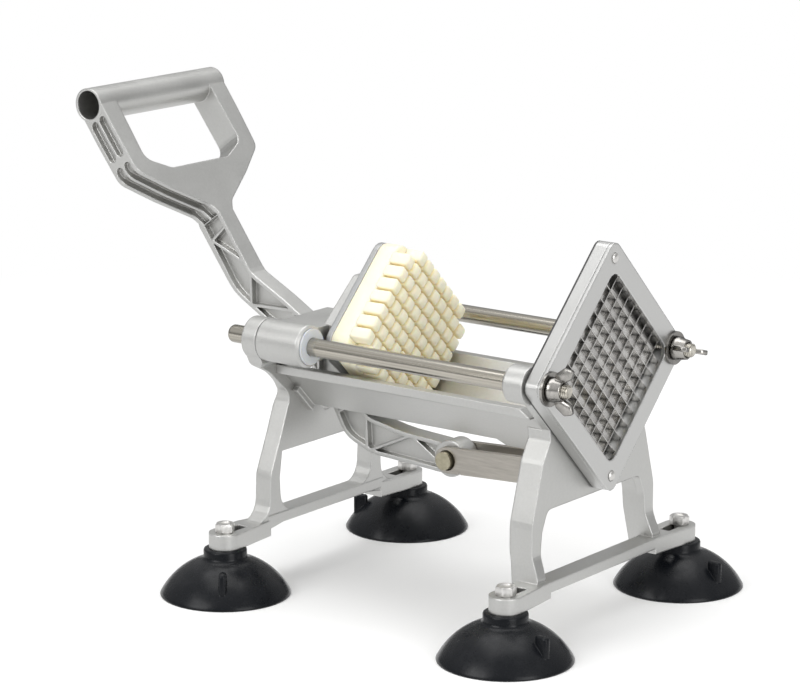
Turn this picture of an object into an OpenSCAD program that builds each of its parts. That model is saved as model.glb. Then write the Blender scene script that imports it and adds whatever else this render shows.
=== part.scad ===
// Hand-lever french fry cutter. A carriage slides on two guide rods, and its pusher
// block drives a potato through a grid of blades that stands on its corner.
// Millimetres. +X runs along the rods toward the blades, +Y away from the near side, +Z up.
// The origin lies on the table, in the plane of symmetry, midway between the handle and the
// front cups. Inside the modules, X is counted from the cartridge's front face instead.

/* [Cutting grid] */
// Cells along one side of the grid
cells = 9; // [8:1:10]
// Distance from one blade to the next
pitch = 8.62; // [8.4:0.02:8.8]
// Thickness of a blade strip
blade_t = 0.55; // [0.4:0.05:0.8]
// Depth of a blade strip along X
blade_depth = 7; // [5:0.5:7]
// Width of the cartridge's border around the opening
border = 12; // [11:0.5:13]
// Thickness of the cartridge body
cartridge_t = 8.7; // [8.5:0.1:10]
// Thickness of the cartridge's front plate
cover_t = 2.3; // [1.5:0.1:3]

/* [Rods and travel] */
// Height of the rods above the table
axis_z = 146; // [144:1:150]
// Radius of a guide rod
rod_r = 5.2; // [4.5:0.1:5.8]
// Distance from the cartridge's side corner in to the rod axis
rod_inset = 10.8; // [10:0.2:12]
// Radius of the threaded stud at a rod's front end
stud_r = 4; // [3:0.25:4.4]
// Travel of the carriage
stroke = 124; // [100:1:124]
// Radial clearance of a running fit
fit = 0.05; // [0.02:0.01:0.1]

/* [Base] */
// Thickness of the trough's walls
trough_t = 3.5; // [3:0.25:4.5]
// Height of the trough's rim above its open bottom
trough_h = 28.7; // [26:0.5:30]
// Thickness of the front plate
plate_t = 5; // [4:0.5:6]
// Depth of a front leg along X
leg_depth = 14.7; // [12:0.5:16]
// Thickness of the rear frame along X
rear_t = 11; // [9:0.5:13]
// Height of the front opening's top edge above the table
arch_z = 73.7; // [70:0.5:75]

/* [Feet] */
// Distance from the middle to a foot bolt
foot_y = 85.8; // [82:0.5:90]
// Radius of a suction cup
cup_r = 37.35; // [32:0.5:40]
// Height of a suction cup
cup_h = 27; // [26:0.5:29]
// Radius of a cup's collar
collar_r = 12.4; // [11:0.2:13]
// Radius of a foot bolt's shank
bolt_r = 3; // [2.5:0.25:3]
// Thickness of a foot pad
pad_t = 9.2; // [8:0.2:10]

/* [Lever] */
// Half width of the D handle
handle_half = 55.5; // [50:0.5:60]
// Radius of the hand grip
grip_r = 9.9; // [9.5:0.1:11]
// Half thickness of the lever's stem
stem_half = 6.2; // [5.5:0.1:6.4]
// Thickness of the web between the stem's flanges
web_t = 4; // [3:0.25:6]
// Thickness of a link
link_t = 3.5; // [2.5:0.25:4]
// Height of a link
link_h = 15; // [14:0.5:16]

/* [Hidden] */
$fn = 64;
clear = 0.3;
cut = 1;
root2 = sqrt(2);
pin_r = 5.2;
washer_t = 1.6;
washer_r = 9.5;

opening = cells * pitch;
cartridge_side = opening + 2 * border;
corner = cartridge_side / root2;
rod_y = corner - rod_inset;
back_x = -cartridge_t - cover_t;
cartridge_round = 6;
opening_round = 6.5;
recess = opening + 4.4;
recess_x = -cover_t - blade_depth - 0.3;
pusher_side = opening - 1.5;
pusher_round = 9;

front_plate_x = back_x - plate_t;
front_leg_x = back_x - leg_depth;
rod_boss_r = 10.5;
rod_boss_bevel = 1.6;
rod_boss_x = front_plate_x - 7;
rear_x = -200;
rear_end_x = rear_x - rear_t;
rear_boss_x = rear_x - 2.8;
rear_arm_x = rear_x + 7;
front_sum = opening / root2 + 0.2;
trough_gap = 4.7;
trough_sum = pusher_side / root2 + trough_gap;
rear_sum = trough_sum - 2.5;
slot_half = 11.3;
trough_z = axis_z - trough_sum + slot_half;
rim_z = trough_z + trough_h;
rim_t = 5;
apron_x = -66;
apron_h = 4;

foot_front_x = -9.5;
foot_rear_x = -205.7;
pad_r = 9.3;
slot_in = 70;
bar_half = 6;
bar_y = 52;

// The links stay this far below the trough, so the lever's lower hub goes down with it.
link_gap = 8.6033;
pivot = [-187, axis_z - 2];
hub = [pivot.x + 81.5, trough_z - apron_h - link_h / 2 - link_gap];
link_end = [front_plate_x - 17.6, hub.y + 3.9];
link_len = norm(link_end - hub);
link_tilt = heading(link_end - hub);
link_y = stem_half + 0.8;
link_slack = 0.6;
link_notch_x = 9;
link_notch_r = 1.2;
pivot_boss_r = 10;
hub_boss_r = 10.6;
pin_steps = 26;

sleeve_r = 12.3;
sleeve_x = rear_arm_x + 0.5;
lip_x = -162.4;
bush_r = rod_r + 2.3;
flange_x = -167;
flange_half = 43;
flange_top = 33;
flange_low = 36;
arm_top = 9.5;
arm_low = 10;
pusher_x = -160.5;
backing_t = 3.5;
pusher_t = 12;
pusher_pin_h = 12;

// The front face of the handle slopes up from the lever's kink; s runs up it, t into it.
kink = [-251, 167.6];
slope = 54.2;
yoke_depth = 17.5;
neck = 41.8;
grip_s = 127.2;
grip_t = 9;
flange_t = 2.4;
rib_t = 1.6;

// How far the cartridge's front face lies in front of the machine's middle.
front_x = (grip_r - on_face(grip_s, grip_t).x - foot_front_x - cup_r) / 2;

// ---------------------------------------------------------------- helpers

// Draws a (Y, Z) outline as a solid between two X positions.
module along_x(x0, x1) {
    translate([x0, 0, 0]) rotate([90, 0, 90]) linear_extrude(x1 - x0) children();
}

// Draws an (X, Z) outline as a solid between two Y positions.
module along_y(y0, y1) {
    translate([0, y1, 0]) rotate([90, 0, 0]) linear_extrude(y1 - y0) children();
}

module rod_x(x0, x1, y, z, r) {
    translate([x0, y, z]) rotate([0, 90, 0]) cylinder(h = x1 - x0, r = r);
}

module rod_y_axis(at, y0, y1, r) {
    translate([at.x, y1, at.y]) rotate([90, 0, 0]) cylinder(h = y1 - y0, r = r);
}

module both_sides() {
    children();
    mirror([0, 1, 0]) children();
}

// Turns a square outline on its corner about the rods' height.
module diamond() {
    translate([0, axis_z]) rotate(45) children();
}

// Moves a drawing from the cartridge's front face into the shared frame.
module from_front() {
    translate([front_x, 0, 0]) children();
}

function unit(v) = v / norm(v);

function heading(v) = atan2(v.y, v.x);

// An arc of radius r in the corner c of an outline that comes from a and goes on to b.
function arc_corner(a, c, b, r) =
    let (
        u = unit(a - c),
        v = unit(b - c),
        half = acos(u * v) / 2,
        centre = c + unit(u + v) * r / sin(half),
        start = c + u * r / tan(half) - centre,
        from = atan2(start.y, start.x),
        sweep = (cross(u, v) < 0 ? 1 : -1) * (180 - 2 * half),
        steps = ceil(abs(sweep) / 18)
    )
    [for (i = [0:steps]) centre + r * [cos(from + sweep * i / steps), sin(from + sweep * i / steps)]];

// A closed outline from corners [x, y, radius].
function rounded(points) =
    let (n = len(points), at = [for (p = points) [p.x, p.y]])
    [for (i = [0:n - 1])
        each points[i].z > 0
            ? arc_corner(at[(i + n - 1) % n], at[i], at[(i + 1) % n], points[i].z)
            : [at[i]]];

// The whole outline of a shape that is the same on both sides of Y = 0.
function both_halves(right) =
    concat(right, [for (i = [len(right) - 1:-1:0])
        if (right[i].x > 0) [-right[i].x, right[i].y, right[i].z]]);

// Moves each side of a clockwise outline of corners [x, y, radius] inward by t.
function inset(points, t) =
    let (n = len(points), at = [for (p = points) [p.x, p.y]])
    [for (i = [0:n - 1])
        let (
            u = unit(at[i] - at[(i + n - 1) % n]),
            v = unit(at[(i + 1) % n] - at[i]),
            moved = at[i] + t * [u.y + v.y, -u.x - v.x] / (1 + u * v),
            grown = points[i].z + (cross(u, v) < 0 ? -t : t)
        )
        [moved.x, moved.y, points[i].z > 0 ? max(grown, 0.5) : 0]];

// A straight bar of width w from p to q.
module bar(p, q, w) {
    translate(p) rotate(heading(q - p)) translate([0, -w / 2]) square([norm(q - p), w]);
}

module rounded_square(side, r) {
    s = side / 2;
    polygon(rounded([[s, s, r], [-s, s, r], [-s, -s, r], [s, -s, r]]));
}

// ------------------------------------------------------------ base casting

// A foot pad: a round end about the foot bolt, a slot, and a straight front in to the crossbar.
module pad(x) {
    slot_r = bolt_r + clear;
    translate([x, 0, cup_h]) linear_extrude(pad_t) difference() {
        union() {
            translate([0, foot_y]) circle(pad_r);
            polygon([
                [-pad_r, foot_y], [-pad_r, slot_in - 6], [-bar_half, bar_y],
                [bar_half, bar_y], [pad_r, foot_y]]);
        }
        translate([0, foot_y]) circle(slot_r);
        translate([-slot_r, slot_in]) square([2 * slot_r, foot_y - slot_in]);
    }
}

module crossbar(x, z0, z1) {
    translate([x - bar_half, -bar_y - 2, z0]) cube([2 * bar_half, 2 * bar_y + 4, z1 - z0]);
}

front_outer = [
    [corner - 2.1, axis_z - 2.5, 3], [corner - 27.8, axis_z - 28, 0],
    [43.2, axis_z - 34, 4], [50, 100.7, 8], [59.8, 67, 12], [59.8, 45, 8], [62, cup_h + 2, 0]];
front_inner = [[53.5, cup_h + 2, 0], [51.3, 52.4, 0], [50.2, 62.5, 12], [45, arch_z, 5]];

module front_plate() {
    half = concat([[0, axis_z - front_sum, 4], [front_sum, axis_z, 0]], front_outer, front_inner);
    along_x(front_plate_x, back_x) polygon(rounded(both_halves(half)));
}

// The front legs behind and below the plate: the view from the front meets the side view.
module front_leg() {
    knee_z = 52;
    toe_z = 38;
    toe_x = back_x + 4.5;
    top_z = axis_z - 16;
    ridge = concat(
        [for (i = [1:len(front_outer) - 1]) front_outer[i]],
        [[53.5, cup_h + 2, 0], [51.3, 52.4, 0], [50.2, 62.5, 12], [38, axis_z - 36, 0]]);
    intersection() {
        along_x(front_leg_x, 0) polygon(rounded(ridge));
        along_y(0, 80) polygon(rounded([
            [front_leg_x, top_z, 0], [front_leg_x, knee_z, 20],
            [front_leg_x + 3.5, cup_h + 2, 0], [toe_x, cup_h + 2, 0], [toe_x, toe_z, 0],
            [back_x, knee_z - 2, 12], [back_x, top_z, 0]]));
    }
}

// The lug that holds the links' front pin, open all along the pin's path.
module link_lug() {
    difference() {
        along_y(-stem_half + 0.4, stem_half - 0.4) polygon(rounded([
            [front_plate_x, arch_z, 0], [front_plate_x, axis_z - front_sum - 2, 0],
            [link_end.x - 12, hub.y + 17, 8], [link_end.x - 12, link_end.y - 10, 8]]));
        for (i = [0:pin_steps])
            rod_y_axis(pin_path(i / pin_steps), -stem_half - cut, stem_half + cut, pin_r + clear);
    }
}

// The closed linkage at the end of the travel: the lever's lower arm and the links meet again.
lever_arm = norm(hub - pivot);
pivot_end = pivot + [stroke, 0];
pin_far = norm(link_end - pivot_end);
arm_heading = heading(link_end - pivot_end)
    - acos((pow(lever_arm, 2) + pow(pin_far, 2) - pow(link_len, 2)) / (2 * lever_arm * pin_far));
hub_end = pivot_end + lever_arm * [cos(arm_heading), sin(arm_heading)];
lever_turn = heading(hub - pivot) - arm_heading;
link_turn = lever_turn + heading(link_end - hub_end) - link_tilt;

function turned(p, a) = [p.x * cos(a) + p.y * sin(a), -p.x * sin(a) + p.y * cos(a)];

// Where the links' front pin is when the carriage has made this share of its travel.
function pin_path(share) =
    let (lever_a = lever_turn * share, link_a = (lever_turn - link_turn) * share)
    pivot + [stroke * share, 0] + turned(hub - pivot, lever_a)
        + turned(link_end - hub, link_a);

module front_frame() {
    color("silver") from_front() difference() {
        union() {
            front_plate();
            both_sides() {
                front_leg();
                pad(foot_front_x);
                rod_x(rod_boss_x, back_x, rod_y, axis_z, rod_boss_r);
                translate([rod_boss_x - rod_boss_bevel, rod_y, axis_z]) rotate([0, 90, 0])
                    cylinder(h = rod_boss_bevel, r1 = rod_boss_r - rod_boss_bevel, r2 = rod_boss_r);
            }
            crossbar(foot_front_x, cup_h + 3.2, cup_h + pad_t - 0.2);
            link_lug();
        }
        both_sides() rod_x(rod_boss_x - rod_boss_bevel - cut, 0, rod_y, axis_z, rod_r);
    }
}

// One wall of the trough with its rim, as an outline in (Y, Z).
module trough_section() {
    bottom = trough_z - apron_h;
    outer = trough_sum + trough_t * root2;
    in_y = function(z) trough_sum - axis_z + z;
    out_y = function(z) outer - axis_z + z;
    polygon([
        [in_y(bottom), bottom], [out_y(bottom), bottom], [out_y(rim_z - rim_t), rim_z - rim_t],
        [in_y(rim_z) + 6, rim_z - rim_t], [in_y(rim_z) + 6, rim_z], [in_y(rim_z), rim_z]]);
}

// Seen from the side, the trough is deeper in front and its rim runs down to the front legs.
module trough() {
    bead = 3.5;
    bead_z = trough_z + 13;
    bead_y = bead_z - axis_z + trough_sum + trough_t * root2 - 0.5;
    color("silver") from_front() both_sides() {
        intersection() {
            along_x(rear_x, front_plate_x) trough_section();
            along_y(0, corner) polygon([
                [rear_x - cut, trough_z], [apron_x, trough_z], [apron_x + apron_h, trough_z - apron_h],
                [front_plate_x + cut, trough_z - apron_h], [front_plate_x + cut, rim_z - 10],
                [front_leg_x - 6, rim_z + cut], [rear_x - cut, rim_z + cut]]);
        }
        along_x(rear_x, rear_x + bead) translate([bead_y, bead_z]) rotate(-135) square([20, bead]);
    }
}

// The rear leg's outer edge, from the rod boss down to the pad that it flares out to.
rear_outer = [
    [corner, axis_z - 3, 3], [66, axis_z - 15, 8], [52, axis_z - 22, 12], [36.3, axis_z - 36, 0],
    [33.6, axis_z - 40.4, 6], [42, 84.4, 8], [51.5, 62.5, 14], [52.3, cup_h + pad_t, 12],
    [66, cup_h + pad_t - 0.2, 0], [66, cup_h + 2, 0]];

// Seen from the side, the arms stand further forward than the legs and clear the trough's rim.
module rear_side() {
    along_y(-corner - cut, corner + cut) polygon(rounded([
        [rear_end_x, cup_h, 0], [rear_end_x, axis_z - 43, 12], [rear_boss_x, axis_z - 28, 12],
        [rear_boss_x, axis_z + cut, 0], [rear_arm_x, axis_z + cut, 0], [rear_arm_x, rim_z + 5, 0],
        [rear_x, rim_z + clear, 0], [rear_x, cup_h, 0]]));
}

module rear_frame() {
    leg_top = 75.3;
    bar_top = cup_h + 12;
    panel_x = rear_x - 7;
    leg = concat(
        [for (i = [3:len(rear_outer) - 1]) rear_outer[i]],
        [[26, bar_top - 4, 0], [26, bar_top - 0.2, 0], [42.3, bar_top - 0.2, 12],
         [43.4, 60, 0], [41, leg_top, 0], [28, axis_z - 42, 0]]);
    panel = both_halves(concat(
        [[0, axis_z - rear_sum, 5], [rear_sum, axis_z, 0]],
        [for (i = [0:4]) rear_outer[i]],
        [[42, 84.4, 0], [43, leg_top, 0]]));
    arm = concat(
        [[8, axis_z - rear_sum + 8, 0], [rear_sum, axis_z, 0]],
        [for (i = [0:3]) rear_outer[i]], [[16, axis_z - corner + 14, 0]]);
    color("silver") from_front() difference() {
        union() {
            intersection() {
                rear_side();
                union() {
                    along_x(panel_x, rear_x + cut) polygon(rounded(panel));
                    both_sides() {
                        along_x(rear_end_x - cut, rear_x + cut) polygon(rounded(leg));
                        along_x(rear_end_x - cut, rear_arm_x + cut) polygon(rounded(arm));
                    }
                }
            }
            both_sides() {
                rod_x(rear_boss_x, rear_arm_x, rod_y, axis_z, sleeve_r);
                pad(foot_rear_x);
            }
            crossbar(foot_rear_x, cup_h + 6, bar_top);
        }
        both_sides() rod_x(rear_end_x - cut, rear_arm_x + cut, rod_y, axis_z, rod_r);
    }
}

// -------------------------------------------------------------------- rods

module guide_rod(side) {
    tip = rear_end_x - 9.2;
    bead = 3;
    stud_end = washer_t + 11.4;
    color("gainsboro") from_front() translate([0, side * rod_y, axis_z]) rotate([0, 90, 0])
        rotate_extrude() polygon(concat(
            [[0, tip]],
            [for (a = [0:15:60]) [rod_r - bead + bead * sin(a), tip + bead - bead * cos(a)]],
            [[rod_r, tip + bead], [rod_r, back_x], [stud_r, back_x], [stud_r, stud_end - 1],
             [stud_r - 1, stud_end], [0, stud_end]]));
}

module guide_rod_near() {
    guide_rod(-1);
}

module guide_rod_far() {
    guide_rod(1);
}

// ---------------------------------------------------------------- carriage

// One side of the carriage: its sleeve on the rod, the arm to it, and the lever's pivot boss.
module carriage_half() {
    lever_gap = stem_half + 2.1;
    pivot_boss_w = 9;
    rib_w = 5;
    arm_x = pivot.x - 5.5;
    rod_x(sleeve_x, lip_x - 1.4, rod_y, axis_z, sleeve_r);
    translate([lip_x - 1.4, rod_y, axis_z]) rotate([0, 90, 0])
        cylinder(h = 1.4, r1 = sleeve_r, r2 = sleeve_r - 1.4);
    translate([arm_x, lever_gap, axis_z - arm_low])
        cube([flange_x + 3.5 - arm_x, rod_y - lever_gap, arm_top + arm_low]);
    rod_y_axis(pivot, lever_gap, lever_gap + pivot_boss_w, pivot_boss_r);
    along_y(lever_gap, lever_gap + rib_w) polygon(rounded([
        [flange_x + cut, axis_z + 24, 0], [flange_x + cut, axis_z - 32, 0],
        [flange_x - 14, axis_z - 16, 6], [flange_x - 14, axis_z + 8, 6]]));
}

module carriage() {
    low_half = 12;
    top_half = 16;
    flange = both_halves([
        [0, axis_z - flange_low, 0], [low_half, axis_z - flange_low, 4],
        [flange_half, axis_z - arm_low, 3], [flange_half, axis_z + arm_top, 3],
        [top_half, axis_z + flange_top, 4]]);
    color("silver") from_front() difference() {
        union() {
            both_sides() carriage_half();
            along_x(flange_x, pusher_x) polygon(rounded(flange));
        }
        both_sides() rod_x(sleeve_x - cut, lip_x + cut, rod_y, axis_z, bush_r + fit);
        rod_y_axis(pivot, -20, 20, pin_r);
        pusher_screw_holes();
    }
}

// The pale bushes that run on the rods, each with a flange on its sleeve's front face.
module sleeve_bushes() {
    color("white") from_front() both_sides() difference() {
        union() {
            rod_x(sleeve_x, lip_x + cut / 2, rod_y, axis_z, bush_r);
            rod_x(lip_x, lip_x + 1.2, rod_y, axis_z, sleeve_r - 2);
        }
        rod_x(sleeve_x - cut, lip_x + 2 * cut, rod_y, axis_z, rod_r + fit);
    }
}

module pivot_pin() {
    color("darkkhaki") from_front() rod_y_axis(pivot, -stem_half - 11, stem_half + 11, pin_r);
}

// ------------------------------------------------------------------ pusher

module pusher_plate() {
    color("gray") from_front() difference() {
        along_x(pusher_x, pusher_x + backing_t) diamond() rounded_square(pusher_side, pusher_round);
        pusher_screw_holes();
    }
}

// One pin, square with rounded edges and a tapered end.
module pusher_pin(length) {
    w = pitch - blade_t - 0.9;
    round_r = 0.66 * w;
    tip = 1.5;
    intersection() {
        translate([-w / 2, -w / 2, 0]) cube([w, w, length]);
        union() {
            cylinder(h = length - tip, r = round_r);
            translate([0, 0, length - tip]) cylinder(h = tip, r1 = round_r, r2 = 0.6 * round_r);
        }
    }
}

module pusher_block() {
    base_x = pusher_x + backing_t;
    pin_x = base_x + pusher_t;
    last = (cells - 1) / 2;
    color("ivory") from_front() {
        difference() {
            along_x(base_x, pin_x) diamond() rounded_square(pusher_side, pusher_round);
            pusher_screw_holes();
        }
        translate([pin_x, 0, axis_z]) rotate([0, 90, 0]) rotate(45)
            for (i = [-last:last]) for (j = [-last:last]) if (abs(i) + abs(j) < 2 * last)
                translate([i * pitch, j * pitch, 0]) pusher_pin(pusher_pin_h);
    }
}

screw_y = 18;
screw_z = 15;
screw_r = 2.5;
screw_head_h = 3;
screw_spots = [for (y = [-screw_y, screw_y]) for (z = [-screw_z, screw_z]) [y, z]];
screw_end_x = pusher_x + backing_t + 8;

module pusher_screw_holes() {
    for (s = screw_spots) rod_x(flange_x - cut, screw_end_x + 0.2, s.x, axis_z + s.y, screw_r);
}

module pusher_screws() {
    color("gainsboro") from_front() for (s = screw_spots) {
        rod_x(flange_x - cut / 2, screw_end_x, s.x, axis_z + s.y, screw_r - fit);
        rod_x(flange_x - screw_head_h, flange_x, s.x, axis_z + s.y, 1.8 * screw_r);
    }
}

// --------------------------------------------------------------- cartridge

cover_screw_r = 2;
cover_head_r = 2.9;
cover_head_h = 0.9;

module cartridge_holes() {
    both_sides() rod_x(back_x - cut, cut, rod_y, axis_z, stud_r + 0.2);
    for (s = [-1, 1]) {
        rod_x(back_x - cut, cut, 0, axis_z + s * rod_y, cover_screw_r);
        rod_x(-cover_head_h, cut, 0, axis_z + s * rod_y, cover_head_r);
    }
}

module cartridge_body() {
    color("silver") from_front() difference() {
        along_x(back_x, -cover_t) diamond() rounded_square(cartridge_side, cartridge_round);
        along_x(back_x - cut, 0) diamond() rounded_square(opening, opening_round);
        along_x(recess_x, 0) diamond() square(recess, center = true);
        cartridge_holes();
    }
}

module cartridge_cover() {
    color("silver") from_front() difference() {
        along_x(-cover_t, 0) diamond() rounded_square(cartridge_side, cartridge_round);
        along_x(-cover_t - cut, cut) diamond() rounded_square(opening, opening_round);
        cartridge_holes();
    }
}

// The two screws that hold the cover, with domed heads seated in it.
module cartridge_screws() {
    head = cover_head_r - 0.1;
    shank = cover_screw_r - fit;
    color("gainsboro") from_front() for (s = [-1, 1])
        translate([0, 0, axis_z + s * rod_y]) rotate([0, 90, 0]) rotate_extrude() polygon([
            [0, back_x + 1.5], [shank, back_x + 1.5], [shank, -cover_head_h], [head, -cover_head_h],
            [head, 0.4], [0.8 * head, 0.9], [0.4 * head, 1.2], [0, 1.3]]);
}

// One set of blades, across the grid's second direction, with half-depth notches.
module blade_set(notch_x) {
    n = cells / 2 - 1;
    x = -cover_t - 0.15 - blade_depth;
    length = recess - 0.4;
    notch = blade_t + 0.2;
    color("lightgray") from_front() translate([0, 0, axis_z]) rotate([45, 0, 0])
        for (i = [-n:n]) difference() {
            translate([x, i * pitch - blade_t / 2, -length / 2]) cube([blade_depth, blade_t, length]);
            for (j = [-n:n]) translate([x + notch_x, i * pitch - 2, j * pitch - notch / 2])
                cube([blade_depth / 2 + 1.2, 4, notch]);
        }
}

module blades_rising() {
    blade_set(blade_depth / 2 - 0.1);
}

module blades_falling() {
    mirror([0, 1, 0]) blade_set(-1.1);
}

// --------------------------------------------------------------- wing nuts

module stud_washers() {
    color("gainsboro") from_front() both_sides() difference() {
        rod_x(0, washer_t, rod_y, axis_z, washer_r);
        rod_x(-cut, washer_t + cut, rod_y, axis_z, stud_r + 0.2);
    }
}

// A wing nut whose two wings lean away from the cartridge, turned by an angle on its stud.
module wing_nut(side, angle) {
    wing_t = 2.8;
    base_h = 3;
    neck_h = 4.6;
    wing = [
        [3.6, 1.6, 0], [8.2, 2.4, 2], [13.2, 8.4, 2.2], [11.4, 13.6, 2.2], [7.4, 12.6, 1.6],
        [4.6, 7.6, 0]];
    color("gainsboro") from_front() translate([washer_t + clear, side * rod_y, axis_z])
        rotate([0, 90, 0]) rotate(angle) difference() {
            union() {
                cylinder(h = base_h, r = 6.8);
                translate([0, 0, base_h]) cylinder(h = neck_h, r1 = 6.2, r2 = 5.4);
                for (turn = [0, 180]) rotate(turn) translate([0, wing_t / 2, 0]) rotate([90, 0, 0])
                    linear_extrude(wing_t) polygon(rounded(wing));
            }
            translate([0, 0, -cut]) cylinder(h = 20, r = stud_r + fit);
        }
}

module wing_nut_near() {
    wing_nut(-1, 0);
}

module wing_nut_far() {
    wing_nut(1, 75);
}

// ------------------------------------------------------------------- lever

// Places (s, Y) outlines on the handle's sloping front face, with depth toward the back.
module on_slope() {
    translate([kink.x, 0, kink.y]) rotate([0, slope - 180, 0]) children();
}

// The (X, Z) place that lies s up the handle's front face and t behind it.
function on_face(s, t) = kink + s * [-cos(slope), sin(slope)] + t * [-sin(slope), -cos(slope)];

function corner_at(p, r) = [p.x, p.y, r];

// A corner of the lower arm, placed from the hub.
function by_hub(x, z, r) = [hub.x + x, hub.y + z, r];

stem_front = [
    corner_at(on_face(neck + 8, 0), 0), corner_at(kink, 12), [-227.9, 155.5, 0], [-207, 143.2, 0],
    [-192, 140, 0], [-177, 141, 0], by_hub(-66.5, 33.3, 20), by_hub(-62.2, 15.8, 10),
    by_hub(-35.7, 10.6, 60), by_hub(-5.8, 8.7, 0)];
stem_back = [
    by_hub(-5, -9.1, 0), by_hub(-35.7, -7.2, 60), by_hub(-55.3, -6.3, 20), by_hub(-75.5, 1.3, 18),
    [-192, 100, 40], [-214, 127.5, 30], [-239.7, 140.1, 60], [-264.6, 154.6, 30],
    corner_at(on_face(neck, 19), 3), corner_at(on_face(neck + 8, yoke_depth - 1), 0)];

// The part of the stem whose sides are hollowed out, from the neck down to the lower hub.
recess_outline = concat(
    [corner_at(on_face(neck + 1.4, 0), 0)], [for (i = [1:len(stem_front) - 1]) stem_front[i]],
    [for (i = [0:len(stem_back) - 3]) stem_back[i]], [corner_at(on_face(neck + 1.4, yoke_depth), 0)]);

// The truss ribs in the hollows, each from one (X, Z) place to another.
stem_ribs = [
    [[-281.7, 182.9], [-269.4, 195.2]], [[-281.4, 183.4], [-257.9, 173.8]],
    [[-252, 166], [-251.3, 146]], [[-250.5, 148.5], [-221, 149.2]], [[-220, 149], [-213, 129]],
    [[-201, 139], [-201, 114]], [hub + [-84.5, 13.3], hub + [-66.5, 23.3]],
    [hub + [-60.9, 18.3], hub + [-59.7, -4.7]], [hub + [-60.5, -5.7], hub + [-27, 9.7]],
    [hub + [-30.5, 10.5], hub + [-7, -4.2]]];

module stem() {
    along_y(-stem_half, stem_half) polygon(rounded(concat(stem_front, stem_back)));
}

// The hollows in the stem's sides, without the ribs and the two hubs.
module stem_hollows() {
    both_sides() along_y(web_t / 2, stem_half + cut) difference() {
        polygon(rounded(inset(recess_outline, flange_t)));
        for (r = stem_ribs) bar(r[0], r[1], rib_t);
        translate(pivot) circle(pivot_boss_r + rib_t);
        translate(hub) circle(hub_boss_r);
    }
}

arm_half = handle_half - 0.5;

// The handle's outline, from the neck up one arm to the grip and back round the opening.
yoke_outline = [
    [neck - 1, -1, 0], [neck - 1, stem_half - 0.5, 0], [47.4, 9.6, 8], [62.7, 33.6, 20],
    [77.8, arm_half - 1, 8], [104, arm_half, 0], [grip_s, arm_half, 0], [grip_s, arm_half - 13.5, 0],
    [83.8, arm_half - 12.3, 8], [75.1, 25.2, 8], [75.1, -1, 0]];

// Hollows that open outward along an arm, in two rows beside a middle rib, with round ends.
// The lower ones follow the taper down to the neck, where they run into the stem's hollows.
hollow_depth = 3.6;
hollow_rows = [[flange_t, 7.9], [9.5, yoke_depth - flange_t]];
upper_hollow = [90.5, 117];
lower_hollow = [
    [86, 70, 0], [86, arm_half - hollow_depth, 0], [81.2, arm_half - hollow_depth, 4],
    [66, 31.3, 12], [50.8, 7.4, 4], [neck - 0.5, web_t / 2 + 0.6, 0], [neck - 0.5, 70, 0]];

module yoke() {
    on_slope() both_sides() linear_extrude(yoke_depth) polygon(rounded(yoke_outline));
}

// A hollow's outline seen from the side, from a to b up the handle, as deep as its row.
module hollow_side(a, b, row, a_r, b_r, depth) {
    translate([0, arm_half + cut, 0]) rotate([90, 0, 0]) linear_extrude(depth + cut)
        polygon(rounded([[a, row[0], a_r], [a, row[1], a_r], [b, row[1], b_r], [b, row[0], b_r]]));
}

module yoke_hollows() {
    end_r = 2.6;
    on_slope() both_sides() for (row = hollow_rows) {
        hollow_side(upper_hollow[0], upper_hollow[1], row, end_r, end_r, hollow_depth);
        intersection() {
            hollow_side(neck - 1, lower_hollow[0].x, row, 0, end_r, arm_half);
            translate([0, 0, row[0]]) linear_extrude(row[1] - row[0])
                polygon(rounded(lower_hollow));
        }
    }
}

module lever() {
    grip = on_face(grip_s, grip_t);
    color("silver") from_front() difference() {
        union() {
            stem();
            yoke();
            rod_y_axis(grip, -handle_half, handle_half, grip_r);
            rod_y_axis(pivot, -stem_half - 1.7, stem_half + 1.7, pivot_boss_r);
            rod_y_axis(hub, -stem_half - 0.3, stem_half + 0.3, hub_boss_r);
        }
        stem_hollows();
        yoke_hollows();
        rod_y_axis(grip, -handle_half - cut, handle_half + cut, grip_r - 1.4);
        rod_y_axis(pivot, -20, 20, pin_r + fit);
        rod_y_axis(hub, -20, 20, pin_r);
    }
}

// ------------------------------------------------------------------- links

// A flat bar from the lever's hub to the frame's pin, with a little slack in its rear hole.
module link(side) {
    r = link_h / 2;
    inner = side > 0 ? link_y : -link_y - link_t;
    color("darkgray") from_front() translate([hub.x, 0, hub.y]) rotate([0, -link_tilt, 0])
        difference() {
            along_y(inner, inner + link_t) difference() {
                union() {
                    circle(r);
                    translate([link_len, 0]) circle(r);
                    translate([0, -r]) square([link_len, link_h]);
                }
                translate([link_notch_x, -r]) circle(link_notch_r, $fn = 32);
            }
            rod_y_axis([link_slack, 0], -20, 20, pin_r + link_slack + fit);
            rod_y_axis([link_len, 0], -20, 20, pin_r);
        }
}

module link_near() {
    link(-1);
}

module link_far() {
    link(1);
}

module link_pin(at, overhang) {
    half = link_y + link_t + overhang;
    color("darkkhaki") from_front() rod_y_axis(at, -half, half, pin_r);
}

module link_pin_lever() {
    link_pin(hub, 2.8);
}

module link_pin_frame() {
    link_pin(link_end, 1);
}

// -------------------------------------------------------------------- feet

// Points of an arc about (0, z) in a turned profile, from one radius to another.
function cap_arc(r, z, from_r, to_r, steps) =
    [for (i = [0:steps]) let (x = from_r + (to_r - from_r) * i / steps) [x, z + sqrt(r * r - x * x)]];

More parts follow.
